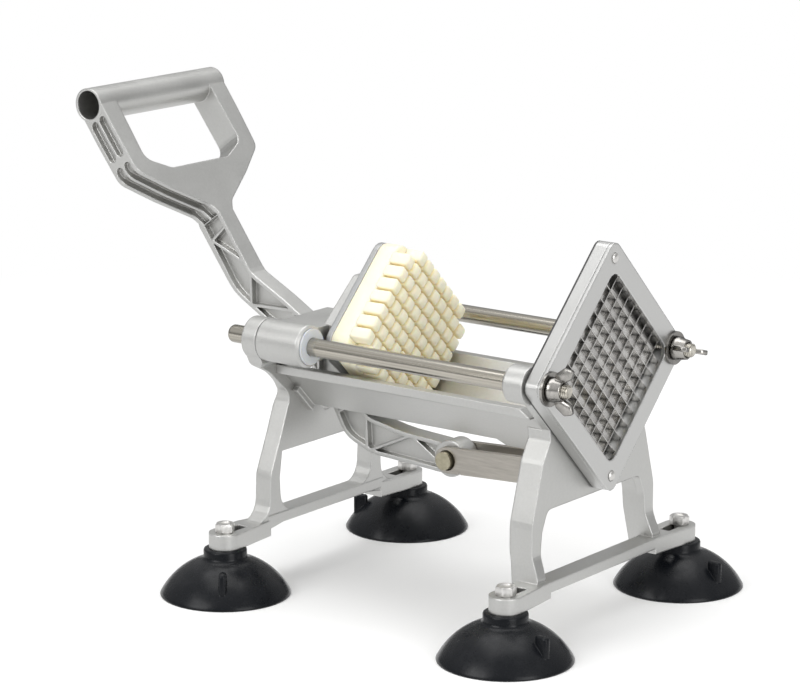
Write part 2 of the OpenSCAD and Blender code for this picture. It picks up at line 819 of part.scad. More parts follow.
// A cup with its pull tab turned to an angle from +X.
module suction_cup(x, side, tab_angle) {
    dome_r = cup_r * 1.135;
    dome_z = 0.8 - sqrt(dome_r * dome_r - cup_r * cup_r);
    dish_r = cup_r * 1.43;
    dish_z = -sqrt(dish_r * dish_r - pow(cup_r - 1.4, 2));
    color("dimgray") from_front() translate([x, side * foot_y, 0]) difference() {
        union() {
            rotate_extrude() polygon(concat(
                cap_arc(dish_r, dish_z, 0, cup_r - 1.4, 16),
                [[cup_r, 0]],
                cap_arc(dome_r, dome_z, cup_r, collar_r + 4, 16),
                [[collar_r, dome_z + dome_r - 0.6], [collar_r, cup_h - 1.2],
                 [collar_r - 1.2, cup_h], [0, cup_h]]));
            rotate(tab_angle) translate([24, -2.2, 3]) cube([8.5, 4.4, 17]);
        }
        translate([0, 0, 14 + cut]) cylinder(h = cup_h, r = bolt_r + fit);
    }
}

module suction_cup_front_near() {
    suction_cup(foot_front_x, -1, -11);
}

module suction_cup_front_far() {
    suction_cup(foot_front_x, 1, -11);
}

module suction_cup_rear_near() {
    suction_cup(foot_rear_x, -1, -53);
}

module suction_cup_rear_far() {
    suction_cup(foot_rear_x, 1, -143);
}

module foot_bolts() {
    head_z = cup_h + pad_t;
    head_h = 5.3;
    bolt_end = 16;
    across_flats = 10;
    color("gainsboro") from_front() for (x = [foot_front_x, foot_rear_x]) both_sides()
        translate([x, foot_y, 0]) difference() {
            union() {
                translate([0, 0, bolt_end]) cylinder(h = head_z - bolt_end, r = bolt_r);
                translate([0, 0, head_z]) cylinder(h = head_h, r = across_flats / sqrt(3), $fn = 6);
            }
            translate([0, 0, head_z + head_h - 1]) cylinder(h = 2, r = 3.4);
        }
}

front_frame();
trough();
rear_frame();
guide_rod_near();
guide_rod_far();
carriage();
sleeve_bushes();
pivot_pin();
pusher_plate();
pusher_block();
pusher_screws();
cartridge_body();
cartridge_cover();
cartridge_screws();
blades_rising();
blades_falling();
stud_washers();
wing_nut_near();
wing_nut_far();
lever();
link_near();
link_far();
link_pin_lever();
link_pin_frame();
suction_cup_front_near();
suction_cup_front_far();
suction_cup_rear_near();
suction_cup_rear_far();
foot_bolts();
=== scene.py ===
"""Looks of a hand-lever french fry cutter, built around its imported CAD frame.

The CAD nodes keep their places. The cast and machined pieces get procedural
metals. The rods, pusher block, nuts, bolts and suction cups are rebuilt as
finer meshes that ride on the same bodies. All lengths are in metres.
"""

from __future__ import annotations

import logging
import math
from dataclasses import dataclass, replace
from enum import Enum
from typing import Callable, Iterable, Sequence

import bmesh
import bpy
from mathutils import Matrix, Vector


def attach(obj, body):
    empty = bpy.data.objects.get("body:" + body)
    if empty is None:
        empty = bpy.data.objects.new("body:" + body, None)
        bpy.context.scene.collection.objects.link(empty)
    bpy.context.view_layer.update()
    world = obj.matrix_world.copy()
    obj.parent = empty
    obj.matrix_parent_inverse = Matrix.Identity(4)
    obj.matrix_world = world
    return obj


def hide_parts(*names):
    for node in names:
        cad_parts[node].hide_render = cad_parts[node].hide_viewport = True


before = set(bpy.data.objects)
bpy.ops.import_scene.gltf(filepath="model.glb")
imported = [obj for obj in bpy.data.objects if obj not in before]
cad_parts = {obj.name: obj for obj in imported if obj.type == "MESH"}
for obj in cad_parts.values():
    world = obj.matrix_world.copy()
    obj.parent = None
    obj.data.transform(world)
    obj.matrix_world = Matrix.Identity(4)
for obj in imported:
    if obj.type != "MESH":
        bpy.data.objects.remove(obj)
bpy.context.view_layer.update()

LOG = logging.getLogger("fry_cutter")
Color = tuple[float, float, float]
Profile = Sequence[tuple[float, float]]

FRONT_X = 0.157378
"""Where the cartridge's front face is; the pieces below count X from it."""
AXIS_Z = 0.146
"""Height of the guide rods above the table."""
ROD_Y = 0.061055
"""Distance from the plane of symmetry to a rod's axis."""
FOOT_Y = 0.0858
"""Distance from the plane of symmetry to a foot bolt."""
FOOT_FRONT_X = -0.0095
"""Where the front foot bolts stand."""
FOOT_REAR_X = -0.2057
"""Where the rear foot bolts stand."""
MM = 0.001
"""One millimetre, for outlines that are written in millimetres."""
PAINTED_STEEL_SHADE = (0.03, 0.03, 0.03, 1.0)
# The painted shade colour that polished steel fades to where it turns away from the view or lies in
# closed-in places.
"""What polished steel fades to where it turns away or lies deep."""
"""Where the CAD box and the finished model's box are written."""


class Side(Enum):
    """The two sides of the plane of symmetry, with their sign along Y."""

    NEAR = -1
    FAR = 1


# --------------------------------------------------------------------------
# Shared shader effects
# --------------------------------------------------------------------------


class Effect(Enum):
    """Names of the shared node groups."""

    EDGE_WEAR = "edge_wear"
    CAST_GRAIN = "cast_grain"
    STREAKS = "streaks"
    DUST = "dust"
    CREVICE = "crevice"


class Graph:
    """A small helper that adds and links nodes in one node tree."""

    def __init__(self, tree: bpy.types.NodeTree) -> None:
        """Keeps the tree.

        Args:
            tree: The node tree to fill.
        """
        self.tree = tree

    def add(self, kind: str, **settings: object) -> bpy.types.Node:
        """Adds a node.

        Args:
            kind: The node's type name, such as ShaderNodeMath.
            settings: Attributes to set on the node.

        Returns:
            The new node.
        """
        node = self.tree.nodes.new(kind)
        for key, value in settings.items():
            setattr(node, key, value)
        return node

    def link(self, source: bpy.types.NodeSocket, target: bpy.types.NodeSocket) -> None:
        """Links two sockets.

        Args:
            source: The output socket.
            target: The input socket.
        """
        self.tree.links.new(source, target)

    def math(
        self, operation: str, a: object, b: object = None, c: object = None
    ) -> bpy.types.NodeSocket:
        """Adds a Math node.

        Args:
            operation: The node's operation.
            a: The first input, a socket or a number.
            b: The second input, a socket or a number, if the operation has one.
            c: The third input, a socket or a number, if the operation has one.

        Returns:
            The result socket.
        """
        node = self.add("ShaderNodeMath", operation=operation)
        for socket, value in zip(node.inputs, (a, b, c)):
            self.feed(socket, value)
        return node.outputs[0]

    def feed(self, socket: bpy.types.NodeSocket, value: object) -> None:
        """Links a socket to an input, or sets its value.

        Args:
            socket: The input socket.
            value: A socket, a number, a colour or None to leave it alone.
        """
        if isinstance(value, bpy.types.NodeSocket):
            self.link(value, socket)
        elif value is not None:
            socket.default_value = value

    def ramp(self, value: bpy.types.NodeSocket, low: float, high: float) -> bpy.types.NodeSocket:
        """Maps a value from low..high onto 0..1 and clamps it.

        Args:
            value: The socket to map.
            low: The value that becomes 0.
            high: The value that becomes 1.

        Returns:
            The mapped socket.
        """
        node = self.add("ShaderNodeMapRange", clamp=True)
        self.link(value, node.inputs["Value"])
        node.inputs["From Min"].default_value = low
        node.inputs["From Max"].default_value = high
        return node.outputs["Result"]

    def mix(self, factor: object, a: object, b: object) -> bpy.types.NodeSocket:
        """Mixes two colours.

        Args:
            factor: How much of the second colour to use.
            a: The first colour or socket.
            b: The second colour or socket.

        Returns:
            The mixed colour's socket.
        """
        node = self.add("ShaderNodeMix", data_type="RGBA")
        self.feed(node.inputs["Factor"], factor)
        self.feed(node.inputs[6], a)
        self.feed(node.inputs[7], b)
        return node.outputs[2]


def rgba(color: Color) -> tuple[float, float, float, float]:
    """Adds full alpha to a colour.

    Args:
        color: Linear red, green and blue.

    Returns:
        The colour with alpha 1.
    """
    return (color[0], color[1], color[2], 1.0)


class EffectLibrary:
    """Makes each shared node group once and hands out nodes that use it."""

    def __init__(self) -> None:
        """Starts with no group made."""
        self._made: dict[Effect, bpy.types.NodeTree] = {}

    def use(self, graph: Graph, effect: Effect, **inputs: object) -> bpy.types.Node:
        """Adds a group node to a material.

        Args:
            graph: The material's graph.
            effect: The effect to use.
            inputs: Values for the group's inputs, with _ for spaces.

        Returns:
            The group node.
        """
        if effect not in self._made:
            builders: dict[Effect, Callable[[Graph], None]] = {
                Effect.EDGE_WEAR: self._edge_wear,
                Effect.CAST_GRAIN: self._cast_grain,
                Effect.STREAKS: self._streaks,
                Effect.DUST: self._dust,
                Effect.CREVICE: self._crevice,
            }
            tree = bpy.data.node_groups.new(effect.value, "ShaderNodeTree")
            builders[effect](Graph(tree))
            self._made[effect] = tree
        node = graph.add("ShaderNodeGroup", node_tree=self._made[effect])
        for key, value in inputs.items():
            graph.feed(node.inputs[key.replace("_", " ")], value)
        return node

    @staticmethod
    def _sockets(graph: Graph, takes: dict[str, float | None], gives: dict[str, str]) -> tuple:
        """Declares a group's inputs and outputs.

        Args:
            graph: The group's graph.
            takes: Input names with default numbers, or None for a vector.
            gives: Output names with socket types.

        Returns:
            The group's input and output nodes.
        """
        face = graph.tree.interface
        for name, default in takes.items():
            kind = "NodeSocketVector" if default is None else "NodeSocketFloat"
            socket = face.new_socket(name=name, in_out="INPUT", socket_type=kind)
            if default is not None:
                socket.default_value = default
        for name, kind in gives.items():
            face.new_socket(name=name, in_out="OUTPUT", socket_type=kind)
        return graph.add("NodeGroupInput"), graph.add("NodeGroupOutput")

    def _edge_wear(self, graph: Graph) -> None:
        """Rounds edges in the shading and finds where the edges are.

        Args:
            graph: The group's graph.
        """
        takes, gives = self._sockets(
            graph, {"Radius": 0.001}, {"Normal": "NodeSocketVector", "Edge": "NodeSocketFloat"}
        )
        bevel = graph.add("ShaderNodeBevel", samples=6)
        graph.link(takes.outputs["Radius"], bevel.inputs["Radius"])
        true_normal = graph.add("ShaderNodeNewGeometry").outputs["Normal"]
        dot = graph.add("ShaderNodeVectorMath", operation="DOT_PRODUCT")
        graph.link(bevel.outputs["Normal"], dot.inputs[0])
        graph.link(true_normal, dot.inputs[1])
        turned = graph.math("SUBTRACT", 1.0, dot.outputs["Value"])
        graph.link(graph.ramp(turned, 0.01, 0.22), gives.inputs["Edge"])
        graph.link(bevel.outputs["Normal"], gives.inputs["Normal"])

    def _cast_grain(self, graph: Graph) -> None:
        """Gives the fine pebbling and soft waves of a tumbled casting.

        Args:
            graph: The group's graph.
        """
        takes, gives = self._sockets(
            graph,
            {"Scale": 900.0, "Depth": 0.00003, "Normal": None},
            {"Mottle": "NodeSocketFloat", "Normal": "NodeSocketVector"},
        )
        place = graph.add("ShaderNodeTexCoord").outputs["Object"]
        fine = graph.add("ShaderNodeTexNoise")
        fine.inputs["Detail"].default_value = 3.0
        graph.link(place, fine.inputs["Vector"])
        graph.link(takes.outputs["Scale"], fine.inputs["Scale"])
        wave = graph.add("ShaderNodeTexNoise")
        wave.inputs["Scale"].default_value = 38.0
        wave.inputs["Detail"].default_value = 4.0
        graph.link(place, wave.inputs["Vector"])
        height = graph.math(
            "ADD", fine.outputs["Fac"], graph.math("MULTIPLY", wave.outputs["Fac"], 6.0)
        )
        bump = graph.add("ShaderNodeBump")
        graph.link(takes.outputs["Depth"], bump.inputs["Distance"])
        graph.link(height, bump.inputs["Height"])
        graph.link(takes.outputs["Normal"], bump.inputs["Normal"])
        both = graph.math("ADD", fine.outputs["Fac"], wave.outputs["Fac"])
        graph.link(graph.ramp(both, 0.75, 1.25), gives.inputs["Mottle"])
        graph.link(bump.outputs["Normal"], gives.inputs["Normal"])

    def _streaks(self, graph: Graph) -> None:
        """Gives polishing lines that run along one axis.

        Args:
            graph: The group's graph.
        """
        takes, gives = self._sockets(
            graph,
            {"Stretch": None, "Depth": 0.00001, "Normal": None},
            {"Line": "NodeSocketFloat", "Normal": "NodeSocketVector"},
        )
        scaled = graph.add("ShaderNodeVectorMath", operation="MULTIPLY")
        graph.link(graph.add("ShaderNodeTexCoord").outputs["Object"], scaled.inputs[0])
        graph.link(takes.outputs["Stretch"], scaled.inputs[1])
        noise = graph.add("ShaderNodeTexNoise")
        noise.inputs["Scale"].default_value = 1.0
        noise.inputs["Detail"].default_value = 5.0
        noise.inputs["Roughness"].default_value = 0.65
        graph.link(scaled.outputs["Vector"], noise.inputs["Vector"])
        bump = graph.add("ShaderNodeBump")
        graph.link(takes.outputs["Depth"], bump.inputs["Distance"])
        graph.link(noise.outputs["Fac"], bump.inputs["Height"])
        graph.link(takes.outputs["Normal"], bump.inputs["Normal"])
        graph.link(graph.ramp(noise.outputs["Fac"], 0.3, 0.7), gives.inputs["Line"])
        graph.link(bump.outputs["Normal"], gives.inputs["Normal"])

    def _dust(self, graph: Graph) -> None:
        """Finds upward faces, where a little dust lies.

        Args:
            graph: The group's graph.
        """
        takes, gives = self._sockets(graph, {"Amount": 0.1}, {"Mask": "NodeSocketFloat"})
        normal = graph.add("ShaderNodeSeparateXYZ")
        graph.link(graph.add("ShaderNodeNewGeometry").outputs["Normal"], normal.inputs[0])
        up = graph.ramp(normal.outputs["Z"], 0.2, 1.0)
        noise = graph.add("ShaderNodeTexNoise")
        noise.inputs["Scale"].default_value = 130.0
        noise.inputs["Detail"].default_value = 6.0
        graph.link(graph.add("ShaderNodeTexCoord").outputs["Object"], noise.inputs["Vector"])
        spots = graph.ramp(noise.outputs["Fac"], 0.45, 0.75)
        mask = graph.math("MULTIPLY", graph.math("MULTIPLY", up, spots), takes.outputs["Amount"])
        graph.link(mask, gives.inputs["Mask"])

    def _crevice(self, graph: Graph) -> None:
        """Finds how closed in a surface is, such as down between two pins, where the finishes paint
        shade.

        Args:
            graph: The group's graph.
        """
        takes, gives = self._sockets(graph, {"Reach": 0.004}, {"Mask": "NodeSocketFloat"})
        open_sky = graph.add("ShaderNodeAmbientOcclusion", samples=8)
        graph.link(takes.outputs["Reach"], open_sky.inputs["Distance"])
        closed = graph.math("SUBTRACT", 1.0, open_sky.outputs["AO"])
        graph.link(graph.ramp(closed, 0.15, 0.85), gives.inputs["Mask"])


EFFECTS = EffectLibrary()
MADE_FINISHES: dict[str, bpy.types.Material] = {}
"""The finishes' materials by name, kept apart from the frame's own materials."""


# --------------------------------------------------------------------------
# Finishes
# --------------------------------------------------------------------------


@dataclass(frozen=True)
class Finish:
    """A material that is made once and shared.

    Attributes:
        name: The material's name, unlike any of the frame's own materials.
        color: The base colour, linear.
        roughness: The base roughness.
    """

    name: str
    color: Color
    roughness: float

    def material(self) -> bpy.types.Material:
        """Makes the material, or finds it if it was made before.

        Returns:
            The finish's material.
        """
        if self.name in MADE_FINISHES:
            return MADE_FINISHES[self.name]
        made = bpy.data.materials.new(self.name)
        MADE_FINISHES[self.name] = made
        made.use_nodes = True
        made.node_tree.nodes.clear()
        graph = Graph(made.node_tree)
        shader = graph.add("ShaderNodeBsdfPrincipled")
        out = graph.add("ShaderNodeOutputMaterial")
        graph.link(shader.outputs["BSDF"], out.inputs["Surface"])
        self.shade(graph, shader)
        return made

    def shade(self, graph: Graph, shader: bpy.types.Node) -> None:
        """Fills the shader's inputs. Each kind of finish has its own.

        Args:
            graph: The material's graph.
            shader: The Principled shader.
        """
        raise NotImplementedError


@dataclass(frozen=True)
class CastMetal(Finish):
    """Tumbled cast aluminium: a fine pebbled skin, brighter along its edges.

    Attributes:
        edge_color: The colour of rubbed edges.
        grain_scale: How fine the pebbling is.
        grain_depth: The pebbling's depth.
        edge_radius: How far edges are rounded in the shading.
        shade_color: The darker colour in the skin's mottling.
        painted_shade_color: The colour of the painted shade in closed-in places and in the dark
            band along X.
        reach: How far the search for closed-in places looks.
        painted_shade_strength: How strong the painted shade in closed-in places is.
        seam_shade: Start and end along X of a band of painted shade along the rear edge, standing
            in for a plate edge in shadow, if there is one.
    """

    edge_color: Color = (0.86, 0.86, 0.85)
    grain_scale: float = 700.0
    grain_depth: float = 0.00002
    edge_radius: float = 0.0012
    shade_color: Color = (0.52, 0.52, 0.51)
    painted_shade_color: Color = (0.42, 0.415, 0.4)
    reach: float = 0.012
    painted_shade_strength: float = 0.75
    seam_shade: tuple[float, float] | None = None

    def shade(self, graph: Graph, shader: bpy.types.Node) -> None:
        """Mottles the skin, paints shade into closed-in places and into a band along X where asked,
        lightens the edges and rounds them.

        Args:
            graph: The material's graph.
            shader: The Principled shader.
        """
        edge = EFFECTS.use(graph, Effect.EDGE_WEAR, Radius=self.edge_radius)
        grain = EFFECTS.use(
            graph,
            Effect.CAST_GRAIN,
            Scale=self.grain_scale,
            Depth=self.grain_depth,
            Normal=edge.outputs["Normal"],
        )
        skin = graph.mix(grain.outputs["Mottle"], rgba(self.shade_color), rgba(self.color))
        # Painted shade: closed-in places darken towards the shade colour.
        crevice = EFFECTS.use(graph, Effect.CREVICE, Reach=self.reach)
        painted_shade_mask = graph.math("MULTIPLY", crevice.outputs["Mask"], self.painted_shade_strength)
        skin = graph.mix(painted_shade_mask, skin, rgba(self.painted_shade_color))
        # Painted shade: behind the given X the skin turns to the shade colour, like a plate edge in
        # shadow.
        if self.seam_shade:
            place = graph.add("ShaderNodeSeparateXYZ")
            graph.link(graph.add("ShaderNodeTexCoord").outputs["Object"], place.inputs[0])
            start, end = self.seam_shade
            seam_shade_mask = graph.ramp(place.outputs["X"], end, start)
            skin = graph.mix(seam_shade_mask, skin, rgba(self.painted_shade_color))
        rubbed = graph.math("MULTIPLY", edge.outputs["Edge"], 0.4)
        graph.link(graph.mix(rubbed, skin, rgba(self.edge_color)), shader.inputs["Base Color"])
        rough = graph.math(
            "SUBTRACT",
            graph.math("MULTIPLY_ADD", grain.outputs["Mottle"], 0.1, self.roughness),
            graph.math("MULTIPLY", edge.outputs["Edge"], 0.1),
        )
        graph.link(rough, shader.inputs["Roughness"])
        graph.link(grain.outputs["Normal"], shader.inputs["Normal"])
        shader.inputs["Metallic"].default_value = 1.0


@dataclass(frozen=True)
class DrawnMetal(Finish):
    """Bright steel with polishing lines along one axis.

    Attributes:
        dark: The colour between the lines.
        stretch: How fine the lines are along X, Y and Z.
        line_depth: The lines' depth.
        edge_radius: How far edges are rounded in the shading.
        painted_turn_shade: How much painted shade darkens the steel where it turns away from the
            view, standing in for dark reflections.
        painted_crevice_shade: How much painted shade darkens it in closed-in places.
        reach: How far the search for closed-in places looks.
    """

    dark: Color = (0.35, 0.34, 0.32)
    stretch: tuple[float, float, float] = (6.0, 900.0, 900.0)
    line_depth: float = 0.00001
    edge_radius: float = 0.0004
    painted_turn_shade: float = 0.0
    painted_crevice_shade: float = 0.0
    reach: float = 0.006

    def shade(self, graph: Graph, shader: bpy.types.Node) -> None:
        """Draws the lines in colour, gloss and bump, and paints shade where the steel turns away
        and in closed-in places.

        Args:
            graph: The material's graph.
            shader: The Principled shader.
        """
        edge = EFFECTS.use(graph, Effect.EDGE_WEAR, Radius=self.edge_radius)
        lines = EFFECTS.use(
            graph,
            Effect.STREAKS,
            Stretch=self.stretch,
            Depth=self.line_depth,
            Normal=edge.outputs["Normal"],
        )
        lined = graph.mix(lines.outputs["Line"], rgba(self.dark), rgba(self.color))
        # Painted shade where the steel turns away from the view, standing in for dark reflections.
        away = graph.add("ShaderNodeLayerWeight")
        away.inputs["Blend"].default_value = 0.5
        facing = graph.ramp(away.outputs["Facing"], 0.1, 0.65)
        turned = graph.math("MULTIPLY", facing, self.painted_turn_shade)
        # Painted shade in closed-in places.
        crevice = EFFECTS.use(graph, Effect.CREVICE, Reach=self.reach)
        deep = graph.math("MULTIPLY", crevice.outputs["Mask"], self.painted_crevice_shade)
        shade = graph.math("MAXIMUM", turned, deep)
        graph.link(graph.mix(shade, lined, PAINTED_STEEL_SHADE), shader.inputs["Base Color"])
        rough = graph.add("ShaderNodeMapRange")
        graph.link(lines.outputs["Line"], rough.inputs["Value"])
        rough.inputs["To Min"].default_value = self.roughness + 0.1
        rough.inputs["To Max"].default_value = self.roughness
        graph.link(rough.outputs["Result"], shader.inputs["Roughness"])
        graph.link(lines.outputs["Normal"], shader.inputs["Normal"])
        shader.inputs["Metallic"].default_value = 1.0


@dataclass(frozen=True)
class MouldedPlastic(Finish):
    """Satin moulded plastic, with warm painted shade where little light gets in.

    Attributes:
        crevice_shade_color: The colour of the painted shade in closed-in places.
        reach: How far the search for closed-in places looks.
    """

    crevice_shade_color: Color = (0.96, 0.82, 0.5)
    reach: float = 0.005

    def shade(self, graph: Graph, shader: bpy.types.Node) -> None:
        """Paints warm shade into the crevices and adds a faint moulded skin.

        Args:
            graph: The material's graph.
            shader: The Principled shader.
        """
        edge = EFFECTS.use(graph, Effect.EDGE_WEAR, Radius=0.0005)
        grain = EFFECTS.use(
            graph, Effect.CAST_GRAIN, Scale=500.0, Depth=0.00001, Normal=edge.outputs["Normal"]
        )
        # Painted shade: closed-in places turn towards the shade colour.
        crevice = EFFECTS.use(graph, Effect.CREVICE, Reach=self.reach)
        warm = graph.mix(crevice.outputs["Mask"], rgba(self.color), rgba(self.crevice_shade_color))
        pale = tuple(min(1.0, 1.08 * part) for part in self.color)
        mottle = graph.math("MULTIPLY", grain.outputs["Mottle"], 0.3)
        graph.link(graph.mix(mottle, warm, rgba(pale)), shader.inputs["Base Color"])
        graph.link(grain.outputs["Normal"], shader.inputs["Normal"])
        rough = graph.math("MULTIPLY_ADD", grain.outputs["Mottle"], 0.08, self.roughness)
        graph.link(rough, shader.inputs["Roughness"])
        shader.inputs["Subsurface Weight"].default_value = 0.4
        shader.inputs["Subsurface Radius"].default_value = (0.004, 0.003, 0.0015)
        shader.inputs["Subsurface Scale"].default_value = 0.6


@dataclass(frozen=True)
class SoftRubber(Finish):
    """Black moulded rubber with a soft shine and a trace of dust.

    Attributes:
        dust_color: The dust's colour.
    """

    dust_color: Color = (0.07, 0.07, 0.075)

    def shade(self, graph: Graph, shader: bpy.types.Node) -> None:
        """Adds the skin and the dust.

        Args:
            graph: The material's graph.
            shader: The Principled shader.
        """
        edge = EFFECTS.use(graph, Effect.EDGE_WEAR, Radius=0.0006)
        grain = EFFECTS.use(
            graph, Effect.CAST_GRAIN, Scale=420.0, Depth=0.000015, Normal=edge.outputs["Normal"]
        )
        dust = EFFECTS.use(graph, Effect.DUST, Amount=0.12)
        graph.link(
            graph.mix(dust.outputs["Mask"], rgba(self.color), rgba(self.dust_color)),
            shader.inputs["Base Color"],
        )
        rough = graph.math("MULTIPLY_ADD", grain.outputs["Mottle"], 0.12, self.roughness)
        graph.link(rough, shader.inputs["Roughness"])
        graph.link(grain.outputs["Normal"], shader.inputs["Normal"])
        shader.inputs["Specular IOR Level"].default_value = 0.22


# The cast finishes below paint grey shade into closed-in places.
CAST = CastMetal("cast_aluminium", (0.61, 0.61, 0.595), 0.4, shade_color=(0.56, 0.56, 0.545))
MACHINED = CastMetal(
    "machined_aluminium", (0.6, 0.6, 0.59), 0.32, grain_scale=1400.0, grain_depth=0.00001,
    shade_color=(0.56, 0.56, 0.55),
)
# The cartridge's painted shade is near black, in closed-in places and in the band along its rear
# edge.
CARTRIDGE = replace(
    MACHINED, name="cartridge_aluminium", painted_shade_color=(0.1, 0.1, 0.1), reach=0.006,
    seam_shade=(FRONT_X - 0.0100, FRONT_X - 0.0096),
)
BACKING = CastMetal("backing_plate", (0.45, 0.46, 0.47), 0.42, edge_color=(0.6, 0.6, 0.6))
# The rods carry painted shade where they turn away from the view, standing in for dark reflections.
ROD_STEEL = DrawnMetal(
    "polished_rod", (0.95, 0.91, 0.82), 0.14, dark=(0.36, 0.335, 0.28), stretch=(1.5, 170.0, 170.0),
    painted_turn_shade=0.45,
)
LINK_STEEL = DrawnMetal(
    "brushed_link", (0.5, 0.475, 0.43), 0.34, dark=(0.4, 0.375, 0.34), stretch=(60.0, 900.0, 900.0)
)
# The blades carry full painted shade in closed-in places, near black between the blades.
BLADE_STEEL = DrawnMetal(
    "bright_blade", (0.68, 0.67, 0.65), 0.12, dark=(0.4, 0.39, 0.38), stretch=(30.0, 90.0, 90.0),
    painted_crevice_shade=1.0, reach=0.004,
)
PIN_STEEL = DrawnMetal(
    "plated_pin", (0.54, 0.5, 0.38), 0.38, dark=(0.4, 0.37, 0.27), stretch=(300.0, 300.0, 300.0)
)
ZINC = DrawnMetal(
    "zinc", (0.8, 0.79, 0.77), 0.28, dark=(0.62, 0.61, 0.59), stretch=(300.0, 300.0, 300.0)
)
# The nickel carries strong painted shade where it turns away from the view.
NICKEL = DrawnMetal(
    "nickel", (0.56, 0.54, 0.51), 0.2, dark=(0.36, 0.35, 0.33), stretch=(200.0, 200.0, 200.0),
    painted_turn_shade=0.8,
)
# Both plastics carry painted shade in closed-in places: a warmer yellow in the ivory, a darker grey
# in the nylon.
IVORY = MouldedPlastic("ivory_plastic", (0.97, 0.9, 0.7), 0.42)
NYLON = MouldedPlastic("pale_nylon", (0.6, 0.62, 0.65), 0.4, crevice_shade_color=(0.45, 0.46, 0.48))
RUBBER = SoftRubber("black_rubber", (0.005, 0.006, 0.008), 0.22)


# --------------------------------------------------------------------------
# Mesh building
# --------------------------------------------------------------------------


def lathe(mesh: bmesh.types.BMesh, profile: Profile, segments: int = 48) -> list:
    """Turns a profile about Z and closes it where it meets the axis.

    Args:
        mesh: The mesh to add to.
        profile: Radius and height pairs.
        segments: Steps around the axis.

    Returns:
        The new vertices.
    """
    rings: list[list[bmesh.types.BMVert]] = []
    for radius, height in profile:
        if radius < 1e-7:
            rings.append([mesh.verts.new((0.0, 0.0, height))])
            continue
        rings.append(
            [
                mesh.verts.new(
                    (
                        radius * math.cos(2 * math.pi * k / segments),
                        radius * math.sin(2 * math.pi * k / segments),
                        height,
                    )
                )
                for k in range(segments)
            ]
        )
    for low, high in zip(rings, rings[1:]):
        for k in range(segments):
            after = (k + 1) % segments
            corners = [
                low[k % len(low)], low[after % len(low)],
                high[after % len(high)], high[k % len(high)],
            ]
            unique = list(dict.fromkeys(corners))
            if len(unique) > 2:
                mesh.faces.new(unique)
    return [vert for ring in rings for vert in ring]


def loft(mesh: bmesh.types.BMesh, rings: Sequence[Sequence[Vector]]) -> list:
    """Joins closed rings of equal length and caps both ends.

    Args:
        mesh: The mesh to add to.
        rings: The rings, each a list of points.

    Returns:
        The new vertices.
    """
    made = [[mesh.verts.new(point) for point in ring] for ring in rings]
    for low, high in zip(made, made[1:]):
        for k in range(len(low)):
            after = (k + 1) % len(low)
            mesh.faces.new([low[k], low[after], high[after], high[k]])
    mesh.faces.new(list(reversed(made[0])))
    mesh.faces.new(made[-1])
    return [vert for ring in made for vert in ring]


def round_square(side: float, radius: float, steps: int = 4) -> list[Vector]:
    """Gives a rounded square's points, around the origin.

    Args:
        side: The square's side.
        radius: Its corner radius.
        steps: Steps in each corner.

    Returns:
        The points, counter-clockwise.
    """
    inset = side / 2 - radius
    points = []
    for quarter in range(4):
        sign_x = 1 if quarter in (0, 3) else -1
        sign_y = 1 if quarter in (0, 1) else -1
        for step in range(steps + 1):
            angle = math.pi / 2 * (quarter + step / steps)
            x = sign_x * inset + radius * math.cos(angle)
            y = sign_y * inset + radius * math.sin(angle)
            points.append(Vector((x, y, 0.0)))
    return points


def arc(
    radius: float, center: float, start: float, end: float, steps: int
) -> list[tuple[float, float]]:
    """Gives points of a profile arc whose centre is on the axis.

    Args:
        radius: The arc's radius.
        center: The height of its centre.
        start: The first point's distance from the axis.
        end: The last point's distance from the axis.
        steps: The number of steps.

    Returns:
        Radius and height pairs.
    """
    spread = [start + (end - start) * k / steps for k in range(steps + 1)]
    return [(x, center + math.sqrt(max(radius * radius - x * x, 0.0))) for x in spread]


def thread_rings(radius: float, pitch: float, start: float, end: float) -> list[list[Vector]]:
    """Gives the rings of a helical thread along Z.

    Args:
        radius: The crest radius.
        pitch: The rise in one turn.
        start: The height where it starts.
        end: The height where it ends.

    Returns:
        Rings of points, for loft.
    """
    segments = 28
    rows = max(int((end - start) / (pitch / 6)), 1)
    depth = pitch * 0.42
    rings = []
    for row in range(rows + 1):
        height = start + (end - start) * row / rows
        ring = []
        for k in range(segments):
            phase = (height / pitch - k / segments) % 1.0
            at = radius - depth * abs(2.0 * phase - 1.0)
            angle = 2 * math.pi * k / segments
            ring.append(Vector((at * math.cos(angle), at * math.sin(angle), height)))
        rings.append(ring)
    return rings


def make_piece(
    name: str, mesh: bmesh.types.BMesh, finish: Finish, smooth_angle: float = 35.0
) -> bpy.types.Object:
    """Makes an object from a mesh that counts X from the cartridge, with its finish.

    Args:
        name: The object's name.
        mesh: The finished mesh, which is freed.
        finish: The piece's finish.
        smooth_angle: Edges sharper than this many degrees stay sharp.

    Returns:
        The new object.
    """
    bmesh.ops.recalc_face_normals(mesh, faces=mesh.faces)
    bmesh.ops.transform(mesh, matrix=Matrix.Translation((FRONT_X, 0.0, 0.0)), verts=mesh.verts)
    data = bpy.data.meshes.new(name)
    mesh.to_mesh(data)
    mesh.free()
    piece = bpy.data.objects.new(name, data)
    bpy.context.scene.collection.objects.link(piece)
    data.materials.append(finish.material())
    for face in data.polygons:
        face.use_smooth = True
    data.set_sharp_from_angle(angle=math.radians(smooth_angle))
    return piece


def along_x(x: float, y: float, z: float, spin: float = 0.0) -> Matrix:
    """Places something that was built along Z so that it runs along +X.

    Args:
        x: Where its base is along X.
        y: Its axis in Y.
        z: Its axis in Z.
        spin: A turn about its own axis, in degrees.

    Returns:
        The placing matrix.
    """
    turn = Matrix.Rotation(math.radians(90), 4, "Y") @ Matrix.Rotation(math.radians(spin), 4, "Z")
    return Matrix.Translation((x, y, z)) @ turn


# --------------------------------------------------------------------------
# Sub-assemblies
# --------------------------------------------------------------------------


